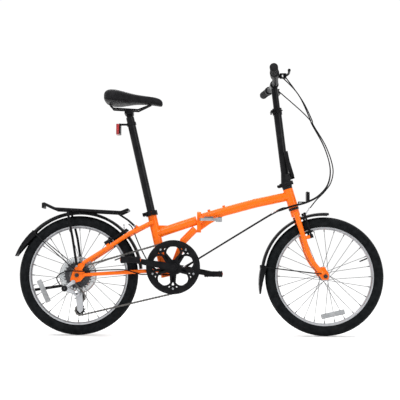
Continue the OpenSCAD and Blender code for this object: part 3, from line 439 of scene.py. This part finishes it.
def wheel_trim(prefix, body, centre, reflector_at):
    """A spoke reflector at an angle in degrees, and the valve."""
    reflector_r, valve_angle = 0.16, 0.4
    valve_from, valve_bend, valve_to = 0.193, 0.183, 0.16
    a = math.radians(reflector_at)
    turn = Matrix.Rotation(-a + math.pi / 2, 3, "Y")
    place = centre + circle_way(a) * reflector_r
    obj = piece(f"{prefix}_reflector", *rounded_box((0.1, 0.011, 0.021), 0.004, place, turn),
                "lens", body)
    out = circle_way(valve_angle)
    stem = [centre + out * r for r in (valve_from, valve_bend, valve_to)]
    tube(f"{prefix}_valve", smooth_route(stem, 4), lambda t: (3.4 - 0.9 * t) * MM, "rubber",
         body)


def spoke_protector():
    """A thin clear disc between the spokes and the biggest sprocket."""
    place = REAR + Vector((0, -0.0305, 0))
    profile = [(0.03, 0.0), (0.045, 0.001), (0.07, 0.002), (0.0765, 0.0012), (0.0765, 0.0004),
               (0.07, 0.0008), (0.045, 0.0), (0.03, -0.001)]
    piece("spoke_protector", *lathe(profile, place, (0, -1, 0), 64, closed=True), "clear",
          "rear_wheel")


# ---- Chain ----

PITCH = 12.7 * MM
RING_TEETH, SMALL_TEETH, JOCKEY_TEETH = 52, 14, 10


def tooth_radius(teeth):
    """The radius on which a chain's pins lie round a wheel of so many teeth."""
    return PITCH / 2 / math.sin(math.pi / teeth)


def chain_path():
    """Roller centres: round the ring, along the top, round the sprocket and the two pulleys."""
    ring = Vector((BB.x, BB.y, BB.z))
    sprocket = Vector((REAR.x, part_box("freewheel")[0][1] + 0.001, REAR.z))
    guide, tension = mid("guide_pulley"), mid("tension_pulley")
    big, small, jockey = (tooth_radius(t) for t in (RING_TEETH, SMALL_TEETH, JOCKEY_TEETH))

    def angle(a, b):
        return math.atan2(b.z - a.z, b.x - a.x)

    def gap(a, b):
        return math.hypot(b.x - a.x, b.z - a.z)

    half = math.pi / 2
    top = half + angle(sprocket, ring) + math.asin((big - small) / gap(sprocket, ring))
    under = -half + angle(tension, ring) - math.asin((big - jockey) / gap(tension, ring))
    leave = angle(sprocket, guide) - math.acos((small + jockey) / gap(sprocket, guide))
    crossing = angle(guide, tension) + math.acos(2 * jockey / gap(guide, tension))
    arcs = [(ring, big, under, top), (sprocket, small, top, 2 * math.pi + leave),
            (guide, jockey, math.pi + leave, crossing),
            (tension, jockey, crossing - math.pi, under)]
    straight = 45 * MM  # the run in line with the ring on both sides of it
    dense = [ring + big * circle_way(under) - straight * circle_way(under + half)]
    for centre, r, a0, a1 in arcs:
        steps = max(int(abs(a1 - a0) * r / MM), 2)
        dense += [centre + r * circle_way(a0 + (a1 - a0) * k / steps) for k in range(steps + 1)]
        if centre is ring:
            dense.append(dense[-1] + straight * circle_way(top + half))
    dense.append(dense[0])
    lengths = [0.0]
    for a, b in zip(dense, dense[1:]):
        lengths.append(lengths[-1] + (b - a).length)
    count = 2 * round(lengths[-1] / PITCH / 2)
    points, j = [], 0
    for i in range(count):
        want = lengths[-1] * i / count
        while lengths[j + 1] < want:
            j += 1
        t = (want - lengths[j]) / max(lengths[j + 1] - lengths[j], 1e-9)
        points.append(dense[j].lerp(dense[j + 1], t))
    return points


def chain_link(a, b, outer):
    """Two waisted plates and a roller, from pin a to pin b."""
    along = (b - a).normalized()
    up = Vector((0, 1, 0)).cross(along).normalized()
    side = along.cross(up).normalized()
    length = (b - a).length
    parts = []
    offset = (3.2 if outer else 2.2) * MM
    half_thick, end_r, waist = 0.4 * MM, 4.1 * MM, 2.9 * MM
    outline = []
    for centre, start in ((0.0, 90), (length, -90)):
        for k in range(7):
            t = math.radians(start + 30 * k)
            outline.append((centre + end_r * math.cos(t), end_r * math.sin(t)))
        outline.append((length / 2, -waist if centre == 0 else waist))
    for s in (-1, 1):
        rings = []
        for y in (offset - half_thick, offset + half_thick):
            rings.append([a + along * p + up * q + side * (s * y) for p, q in outline])
        parts.append(loft(rings))
    roller = 2.1 * MM if outer else 3.9 * MM
    width = (4.2 if outer else 1.7) * MM
    parts.append(lathe([(roller, -width), (roller, width)], a, side, 10))
    return join_parts(parts)


def chain():
    """Links on the rear frame, and those by the cage as a piece of their own, fixed in place."""
    points = chain_path()
    n = len(points)
    lower_end = mid("derailleur_cage").x + 0.08
    groups = {"chain": [], "chain_lower": []}
    pivot_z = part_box("derailleur_cage")[1][2] - 0.012
    for i in range(n):
        a, b = points[i], points[(i + 1) % n]
        centre = (a + b) / 2
        low = centre.z < pivot_z - 0.004 and centre.x < lower_end
        groups["chain_lower" if low else "chain"].append(chain_link(a, b, i % 2 == 0))
    main = piece("chain_links", *join_parts(groups["chain"]), "chain_steel", "rear_frame", False)
    lower = piece("chain_links_lower", *join_parts(groups["chain_lower"]), "chain_steel", None,
                  False)
    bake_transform(lower)
    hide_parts("chain")


# ---- Cables ----

# The routes follow those in part.scad, in millimetres. BELOW_BAR is one more point for each
# housing, which part.scad doesn't have. It spreads the three where they cross below the bar.
CABLE_R = 2.4 * MM
BELOW_BAR = [(462, 14, 905), (458, -20, 905), (466, -22, 900)]
BOW = [(470, 0, 884), (520, 0, 790), (545, 0, 700), (534, -8, 630), (492, -28, 580),
       (440, -37, 552), (388, -31, 538), (345, -16, 524)]
REAR_BRAKE = [(300, -6.4, 503), (160, -6, 418), (0, -6, 319), (-60, -9, 280),
              (-86, -12, 257), (-110, -21, 252), (-140, -24, 250), (-165, -19, 250),
              (-185, -6, 258), (-200, 0, 280), (-214, 0, 300), (-244, 0, 355),
              (-262, -2, 395), (-274, -8, 426), (-284, -16, 448), (-296, -20, 458)]
SHIFT = [(300, -11, 502), (160, -11, 417), (0, -11, 318), (-62, -16, 276), (-88, -19, 256),
         (-112, -27, 251), (-142, -30, 249), (-175, -30, 250), (-216, -34, 251),
         (-242, -43, 251), (-270, -51, 259), (-310, -55, 269), (-400, -63, 267),
         (-470, -77, 262), (-540, -82, 262), (-580, -82, 238), (-568, -82, 208)]
FRONT_BRAKE = [(475, -9, 878), (526, -9, 790), (555, -9, 700), (548, -6, 640),
               (522, 2, 600), (488, -4, 566), (458, -24, 530)]


def lever_exit(side):
    """Where the housing leaves a brake lever's bracket."""
    low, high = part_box("brake_lever_brackets")
    return Vector((high[0] - 0.006, side * 0.154, (low[2] + high[2]) / 2))


def split_cable(name, route, radius, joints, last_body):
    """A cable cut where two bodies share it; every part but the last stays fixed in place, and the
    last rides last_body.

    joints: (test for the first place past the part, body_a, body_b, start point, end point)
    """
    begin = 0
    for k, (past, a, b, start, end) in enumerate(joints):
        stop = next(i for i in range(begin + 1, len(route)) if past(route[i]))
        obj = tube(f"{name}_{k}", route[begin:stop + 1], radius, "cable", None)
        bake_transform(obj)
        begin = stop
    obj = tube(f"{name}_{len(joints)}", route[begin:], radius, "cable", last_body)


def cables():
    """The rear brake, shift and front brake housings."""
    def points(route, dy=0.0, dz=0.0):
        return [Vector(p) * MM + Vector((0, dy, dz)) * MM for p in route]

    to_post = (lambda p: p.z < 0.89, "handlebar", "handlepost", (0.43, 0, 1.0), (0.47, 0, 0.9))
    to_fork = (lambda p: p.z < 0.72, "handlepost", "fork", (0.47, 0, 0.88), (0.54, 0, 0.73))
    to_frame = (lambda p: p.x < 0.36, "fork", "front_frame", (0.54, 0, 0.70), (0.40, 0, 0.54))
    to_rear = (lambda p: p.x < -0.05, "front_frame", "rear_frame", (0.05, -0.01, 0.35),
               (-0.05, -0.01, 0.287))
    all_joints = [to_post, to_fork, to_frame, to_rear]
    rear_extra, shift_extra, front_extra = ([p] for p in points(BELOW_BAR))
    route = smooth_route([lever_exit(1), Vector((0.43, 0.09, 0.96))] + rear_extra
                         + points(BOW, 3, 1) + points(REAR_BRAKE), 8)
    split_cable("rear_brake_cable", route, CABLE_R, all_joints, "rear_frame")
    shifter = mid("twist_shifter") + Vector((0.024, 0.012, -0.004))
    route = smooth_route([shifter, Vector((0.4, -0.11, 0.99))] + shift_extra
                         + points(BOW, -3, -3) + points(SHIFT), 8)
    split_cable("shift_cable", route, CABLE_R, all_joints, "rear_frame")
    route = smooth_route([lever_exit(-1), Vector((0.42, -0.08, 0.97))] + front_extra
                         + points(FRONT_BRAKE), 8)
    split_cable("front_brake_cable", route, CABLE_R, [to_post, to_fork], "fork")
    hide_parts("control_cables")
    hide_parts("handlebar_cables")


def tension_cable():
    """The thick stay under the frame, with its silver ferrules."""
    route = smooth_route([Vector(p) * MM for p in (
        (-82, 0, 272), (0, 0, 320), (160, 0, 419), (319, 0, 516), (360, 0, 531))], 10)
    obj = tube("tension_stay", route, 3.6 * MM, "cable", None)
    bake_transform(obj)
    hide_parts("tension_cable")
    along = Vector((159, 0, 97)).normalized()
    ferrule = Vector((0.319, 0, 0.516))
    profile = [(0.0, 0.0), (0.004, 0.0), (0.0052, 0.002), (0.0052, 0.016), (0.004, 0.018),
               (0.004, 0.03), (0.0, 0.03)]
    piece("tension_ferrule", *lathe(profile, ferrule - along * 0.024, along, 20), "alloy",
          "front_frame")
    piece("tension_anchor", *lathe(profile, Vector((-0.084, 0, 0.271)), Vector((82, 0, 48)), 20),
          "alloy", "rear_frame")


# ---- Small hardware ----


def bolt(name, place, axis, r, body, look="steel", height=0.004):
    """A socket-headed screw: a bevelled head with a round recess."""
    profile = [(0.0, -0.002), (r, -0.002), (r, height * 0.6), (r * 0.85, height),
               (r * 0.5, height), (r * 0.5, height * 0.35), (0.0, height * 0.35)]
    piece(name, *lathe(profile, place, axis, 18), look, body)


def weld(name, centre, axis, r, body):
    """A ripple of weld round a tube's joint."""
    axis = Vector(axis).normalized()
    u = axis.orthogonal().normalized()
    v = axis.cross(u)
    around, ripples = 72, 24
    rings = []
    for i in range(around):
        a = 2 * math.pi * i / around
        out = math.cos(a) * u + math.sin(a) * v
        fat = (1.9 + 0.35 * math.sin(a * ripples)) * MM
        rings.append([centre + out * (r + fat * math.cos(t)) + axis * fat * 1.3 * math.sin(t)
                      for t in (2 * math.pi * k / 8 for k in range(8))])
    piece(name, *loft(rings, closed=True), "paint", body)


def crank_details():
    """Rings in the gaps between the spider's arms, the chainring bolts and the crank bolts."""
    window_at, window_y = 58 * MM, -57.2 * MM
    bolt_at, bolt_y = 88 * MM, -61.8 * MM
    cap_y = 71.5 * MM
    web = [(0.0275, -0.0017), (0.037, -0.0017), (0.037, 0.0017), (0.0275, 0.0017)]
    middle = Vector((BB.x, 0, BB.z))
    for k in range(5):
        place = middle + circle_way(math.radians(72 * k + 90)) * window_at
        place.y = window_y
        piece(f"spider_window_{k}", *lathe(web, place, (0, -1, 0), 48, closed=True),
              "black_metal", "crank", False)
    for k in range(5):
        place = middle + circle_way(math.radians(72 * k + 54)) * bolt_at
        place.y = bolt_y
        bolt(f"chainring_bolt_{k}", place, (0, -1, 0), 4.6 * MM, "crank", "steel", 2.2 * MM)
    for side in (-1, 1):
        bolt(f"crank_bolt_{side_name(side)}", middle + Vector((0, side * cap_y, 0)),
             (0, side, 0), 8.5 * MM, "crank", "plastic", 3 * MM)


def pedal(side, body):
    """A moulded platform: frame, ribs, grip studs and end reflectors."""
    node = f"{side}_pedal"
    low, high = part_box(node)
    centre = (Vector(low) + Vector(high)) / 2
    s = -1 if side == "right" else 1
    inner = (high[1] if s < 0 else low[1])
    outer = (low[1] if s < 0 else high[1])
    y_in = inner + s * 0.014
    parts = []
    width = 78 * MM
    depth = abs(outer - y_in)
    y_mid = (outer + y_in) / 2
    rail_x, inner_row_x, stud_z = 0.0345, 0.026, 0.0125
    for x in (-rail_x, rail_x):
        parts.append(rounded_box((0.009, depth, 0.025), 0.003, (centre.x + x, y_mid, centre.z)))
    for y in (y_in + s * 0.005, outer - s * 0.005, y_mid):
        parts.append(rounded_box((width - 0.006, 0.009, 0.024), 0.003, (centre.x, y, centre.z)))
    parts.append(rounded_box((0.019, depth, 0.019), 0.005, (centre.x, y_mid, centre.z)))
    for x in (-inner_row_x, -rail_x, inner_row_x, rail_x):
        for k in range(7):
            y = y_in + s * (0.006 + k * (depth - 0.012) / 6)
            for z in (-1, 1):
                parts.append(rounded_box((0.004, 0.004, 0.003), 0.001,
                                         (centre.x + x, y, centre.z + z * stud_z)))
    root = (centre.x, inner + s * 0.0068, centre.z)
    parts.append(rounded_box((0.0136, 0.0135, 0.01), 0.002, root))
    obj = piece(f"{side}_pedal_platform", *join_parts(parts), "plastic", body, False)
    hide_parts(node)
    for x in (-1, 1):
        piece(f"{side}_pedal_reflector_{'front' if x > 0 else 'rear'}",
              *rounded_box((0.004, 0.046, 0.012), 0.0012,
                           (centre.x + x * 0.0392, y_mid, centre.z)), "amber", body)


def brake_lever(side, body):
    """A curved two-finger blade, thicker at its root."""
    low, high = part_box(f"{side}_brake_lever")
    s = -1 if side == "right" else 1
    z = (low[2] + high[2]) / 2
    pivot_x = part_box("brake_lever_brackets")[1][0] - 0.008
    route = smooth_route([Vector((pivot_x, s * 0.160, z)), Vector((pivot_x + 0.008, s * 0.178, z)),
                          Vector((pivot_x + 0.013, s * 0.205, z)),
                          Vector((pivot_x + 0.012, s * 0.235, z + 0.001)),
                          Vector((pivot_x + 0.010, s * 0.262, z + 0.002))], 8)
    rings = tube_rings(route, lambda t: (6.2 - 1.6 * math.sin(t * math.pi)) * MM, 14)
    obj = piece(f"{side}_lever_blade", *loft(rings), "black_metal", body)
    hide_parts(f"{side}_brake_lever")


def grips():
    """Ribbed rubber sleeves with a flange and a closed end."""
    bar_low, bar_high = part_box("handlebar")
    bar_r, end_y, bend_y = 12.7 * MM, 288.5 * MM, 150 * MM
    right_start_y, left_start_y = 208 * MM, 172 * MM  # the right grip is short beside the shifter
    rib = 5 * MM
    for side in (-1, 1):
        end = Vector((bar_low[0] + bar_r, side * end_y, bar_high[2] - bar_r))
        root = end + Vector((0.016, -side * 0.138, -0.006))
        start_y = right_start_y if side < 0 else left_start_y
        start = end.lerp(root, (end_y - start_y) / (end_y - bend_y))
        along = end - start
        length = along.length
        profile = [(0.0129, 0.0), (0.0185, 0.0), (0.0185, 0.003), (0.0162, 0.005)]
        for k in range(int((length - 0.014) / rib)):
            h = 0.006 + k * rib
            profile += [(0.0164, h), (0.0164, h + 0.003), (0.0153, h + 0.0035),
                        (0.0153, h + 0.0046)]
        profile += [(0.0168, length - 0.006), (0.0168, length), (0.012, length + 0.0028),
                    (0.0, length + 0.003)]
        obj = piece(f"{side_name(side)}_grip", *lathe(profile, start, along, 36), "grip",
                    "handlebar")
        if side < 0:
            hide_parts("grips")


def reflector_lenses():
    """A red lens on the seatpost's bracket and a clear one on the front bracket."""
    obj = piece("rear_lens", *rounded_box((0.0126, 0.0486, 0.0446), 0.002, (-0.3461, 0, 0.856)),
                "red", "seatpost")
    obj = piece("front_lens", *rounded_box((0.006, 0.0396, 0.0356), 0.002, (0.4545, 0, 0.578)),
                "lens", "front_frame")


def mudflap_skirts(prefix, centre, body, first, last, flare):
    """The flap's two side walls, deep at the guard and thin at the tip."""
    steps = 14
    flap_r, tip_depth, extra_depth = 264.5 * MM, 3 * MM, 19 * MM
    for side in (-1, 1):
        rings = []
        for k in range(steps + 1):
            t = k / steps
            out = circle_way(math.radians(first + (last - first) * t))
            outer = flap_r + flare * t
            deep = extra_depth * (1 - t ** 2.2) + tip_depth
            rings.append([centre + out * radius + Vector((0, side * y, 0))
                          for radius, y in ((outer, 0.0252), (outer, 0.027),
                                            (outer - deep, 0.0275), (outer - deep, 0.0257))])
        piece(f"{prefix}_flap_wall_{side_name(side)}", *loft(rings), "plastic", body, False)


def derailleur_details():
    """The black upper knuckle, the silver lower one and their screws."""
    y_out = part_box("derailleur")[0][1]
    tall = 16.5 * MM
    knuckle = [(0.0, -0.001), (0.0115, -0.001), (0.0125, 0.001), (0.0125, 0.015),
               (0.011, tall), (0.0, tall)]
    for word, x, z, look in (("upper", -0.548, 0.192, "plastic"),
                             ("lower", -0.498, 0.172, "alloy")):
        place = Vector((x, y_out + 0.0155, z))
        piece(f"derailleur_knuckle_{word}", *lathe(knuckle, place, (0, -1, 0), 32), look,
              "rear_frame")
        bolt(f"derailleur_screw_{word}", place + Vector((0, -tall, 0)), (0, -1, 0), 4 * MM,
             "rear_frame", "dark_steel", 2 * MM)
    hanger = Vector((-0.514, -0.0755, 0.218))
    bolt("hanger_bolt", hanger, (0, -1, 0), 7.5 * MM, "rear_frame", "dark_steel", 4 * MM)


def latch_tip():
    """The black end of the frame's latch lever."""
    place = mid("frame_latch_lever")
    place.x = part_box("frame_latch_lever")[1][0] - 0.009
    piece("latch_lever_tip", *rounded_box((0.018, 0.0135, 0.021), 0.004, place), "plastic",
          "frame_latch_lever")


def brake_details(prefix, frame_body):
    """The noodle, its boot and the bare wire across the two arms."""
    low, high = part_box(f"{prefix}_left_brake_arm")
    if prefix == "front":
        top = Vector((low[0] + 0.012, 0, high[2] - 0.008))
        forward = 1
    else:
        top = Vector((high[0] - 0.012, 0, high[2] - 0.010))
        forward = -0.2
    wire = [top + Vector((0, 0.034, 0)), top, top + Vector((0, -0.034, 0))]
    tube(f"{prefix}_brake_wire", smooth_route(wire, 4), 0.9 * MM, "steel", frame_body, 8)
    boot = [(0.0018, 0.0)]
    for k in range(8):
        boot += [(0.0052 - 0.0002 * k, 0.002 + k * 0.003), (0.0038, 0.0035 + k * 0.003)]
    boot += [(0.0012, 0.028)]
    piece(f"{prefix}_brake_boot", *lathe(boot, top + Vector((0, -0.016, 0)), (0, 1, 0), 20),
          "plastic", frame_body)
    noodle = [top + Vector((0, -0.030, 0)), top + Vector((0.004 * forward, -0.042, 0.004)),
              top + Vector((0.012 * forward, -0.044, 0.016)),
              top + Vector((0.018 * forward, -0.036, 0.026))]
    tube(f"{prefix}_brake_noodle", smooth_route(noodle, 5), 2.4 * MM, "alloy", frame_body, 12)


def frame_details():
    """Screws, the inserts of the two bottle bosses and the weld beads."""
    for side in (-1, 1):
        place = Vector((-0.268, side * 0.0425, 0.448))
        bolt(f"rack_bolt_{side_name(side)}", place, (0, side, 0), 4.2 * MM, "rear_frame")
        place = Vector((-0.501, side * 0.0822, 0.283))
        bolt(f"stay_bolt_{side_name(side)}", place, (0, side, 0), 4.2 * MM, "rear_frame")
    tilt = math.radians(15.8)
    normal = Vector((-math.sin(tilt), 0, math.cos(tilt)))
    insert = [(0.0026, 0.0), (0.0058, 0.0), (0.0058, 0.0008), (0.005, 0.0014), (0.0026, 0.0014)]
    for k, x in enumerate((0.0374, 0.0992)):
        place = Vector((x, 0, 0.5256 + (x - 0.0685) * math.tan(tilt))) + normal * 0.004
        piece(f"boss_insert_{k}", *lathe(insert, place, normal, 24), "alloy", "front_frame")
    main_tube = (171, 0, 60)
    weld("weld_main", Vector((-0.1605, 0, 0.4259)), main_tube, 0.0187, "rear_frame")
    weld("weld_strut", Vector((-0.1005, 0, 0.304)), (41, 0, 110), 0.0148, "rear_frame")
    for side in (-1, 1):
        word = side_name(side)
        weld(f"weld_seat_stay_{word}", Vector((-0.2, side * 0.0209, 0.4655)),
             (-95, side * 18, -49), 0.0088, "rear_frame")
        weld(f"weld_chain_stay_{word}", Vector((-0.172, side * 0.0245, 0.2669)),
             (-78, side * 15.5, -4), 0.0078, "rear_frame")
    weld("weld_hinge_rear", Vector((-0.0145, 0, 0.474)), main_tube, 0.0188, "rear_frame")


def make_floor():
    mesh = bpy.data.meshes.new("floor")
    size, height = 30, -0.5 * MM
    mesh.from_pydata([(-size, -size, height), (size, -size, height), (size, size, height),
                      (-size, size, height)], [], [(0, 1, 2, 3)])
    floor = bpy.data.objects.new("floor", mesh)
    bpy.context.scene.collection.objects.link(floor)
    floor.data.materials.append(material("pale_floor", (0.92, 0.92, 0.92), 0.7, mottle=0.01))


# ---- The scene ----

make_camera()
make_world()
make_light("key", (-1.4, -2.2, 3.0), (0, 0, 0.4), (1.6, 1.6), 50)
make_light("fill", (2.4, -2.4, 1.6), (0, 0, 0.5), (1.2, 2.0), 22)
make_light("rim_light", (0.4, 2.6, 2.6), (0, 0, 0.5), (2.4, 1.0), 24)
dress_nodes()
tyre("rear_tyre_casing", "rear_tyre", "rear_wheel")
tyre("front_tyre_casing", "front_tyre", "front_wheel")
saddle()
wheel_trim("rear", "rear_wheel", REAR, REAR_REFLECTOR_ANGLE)
wheel_trim("front", "front_wheel", FRONT, FRONT_REFLECTOR_ANGLE)
spoke_protector()
chain()
cables()
tension_cable()
crank_details()
pedal("right", "right_pedal")
pedal("left", "left_pedal")
brake_lever("right", "right_brake_lever")
brake_lever("left", "left_brake_lever")
grips()
brake_details("front", "fork")
brake_details("rear", "rear_frame")
frame_details()
mudflap_skirts("rear", REAR, "rear_frame", *REAR_FLAP)
mudflap_skirts("front", FRONT, "fork", *FRONT_FLAP)
derailleur_details()
latch_tip()
reflector_lenses()
make_floor()
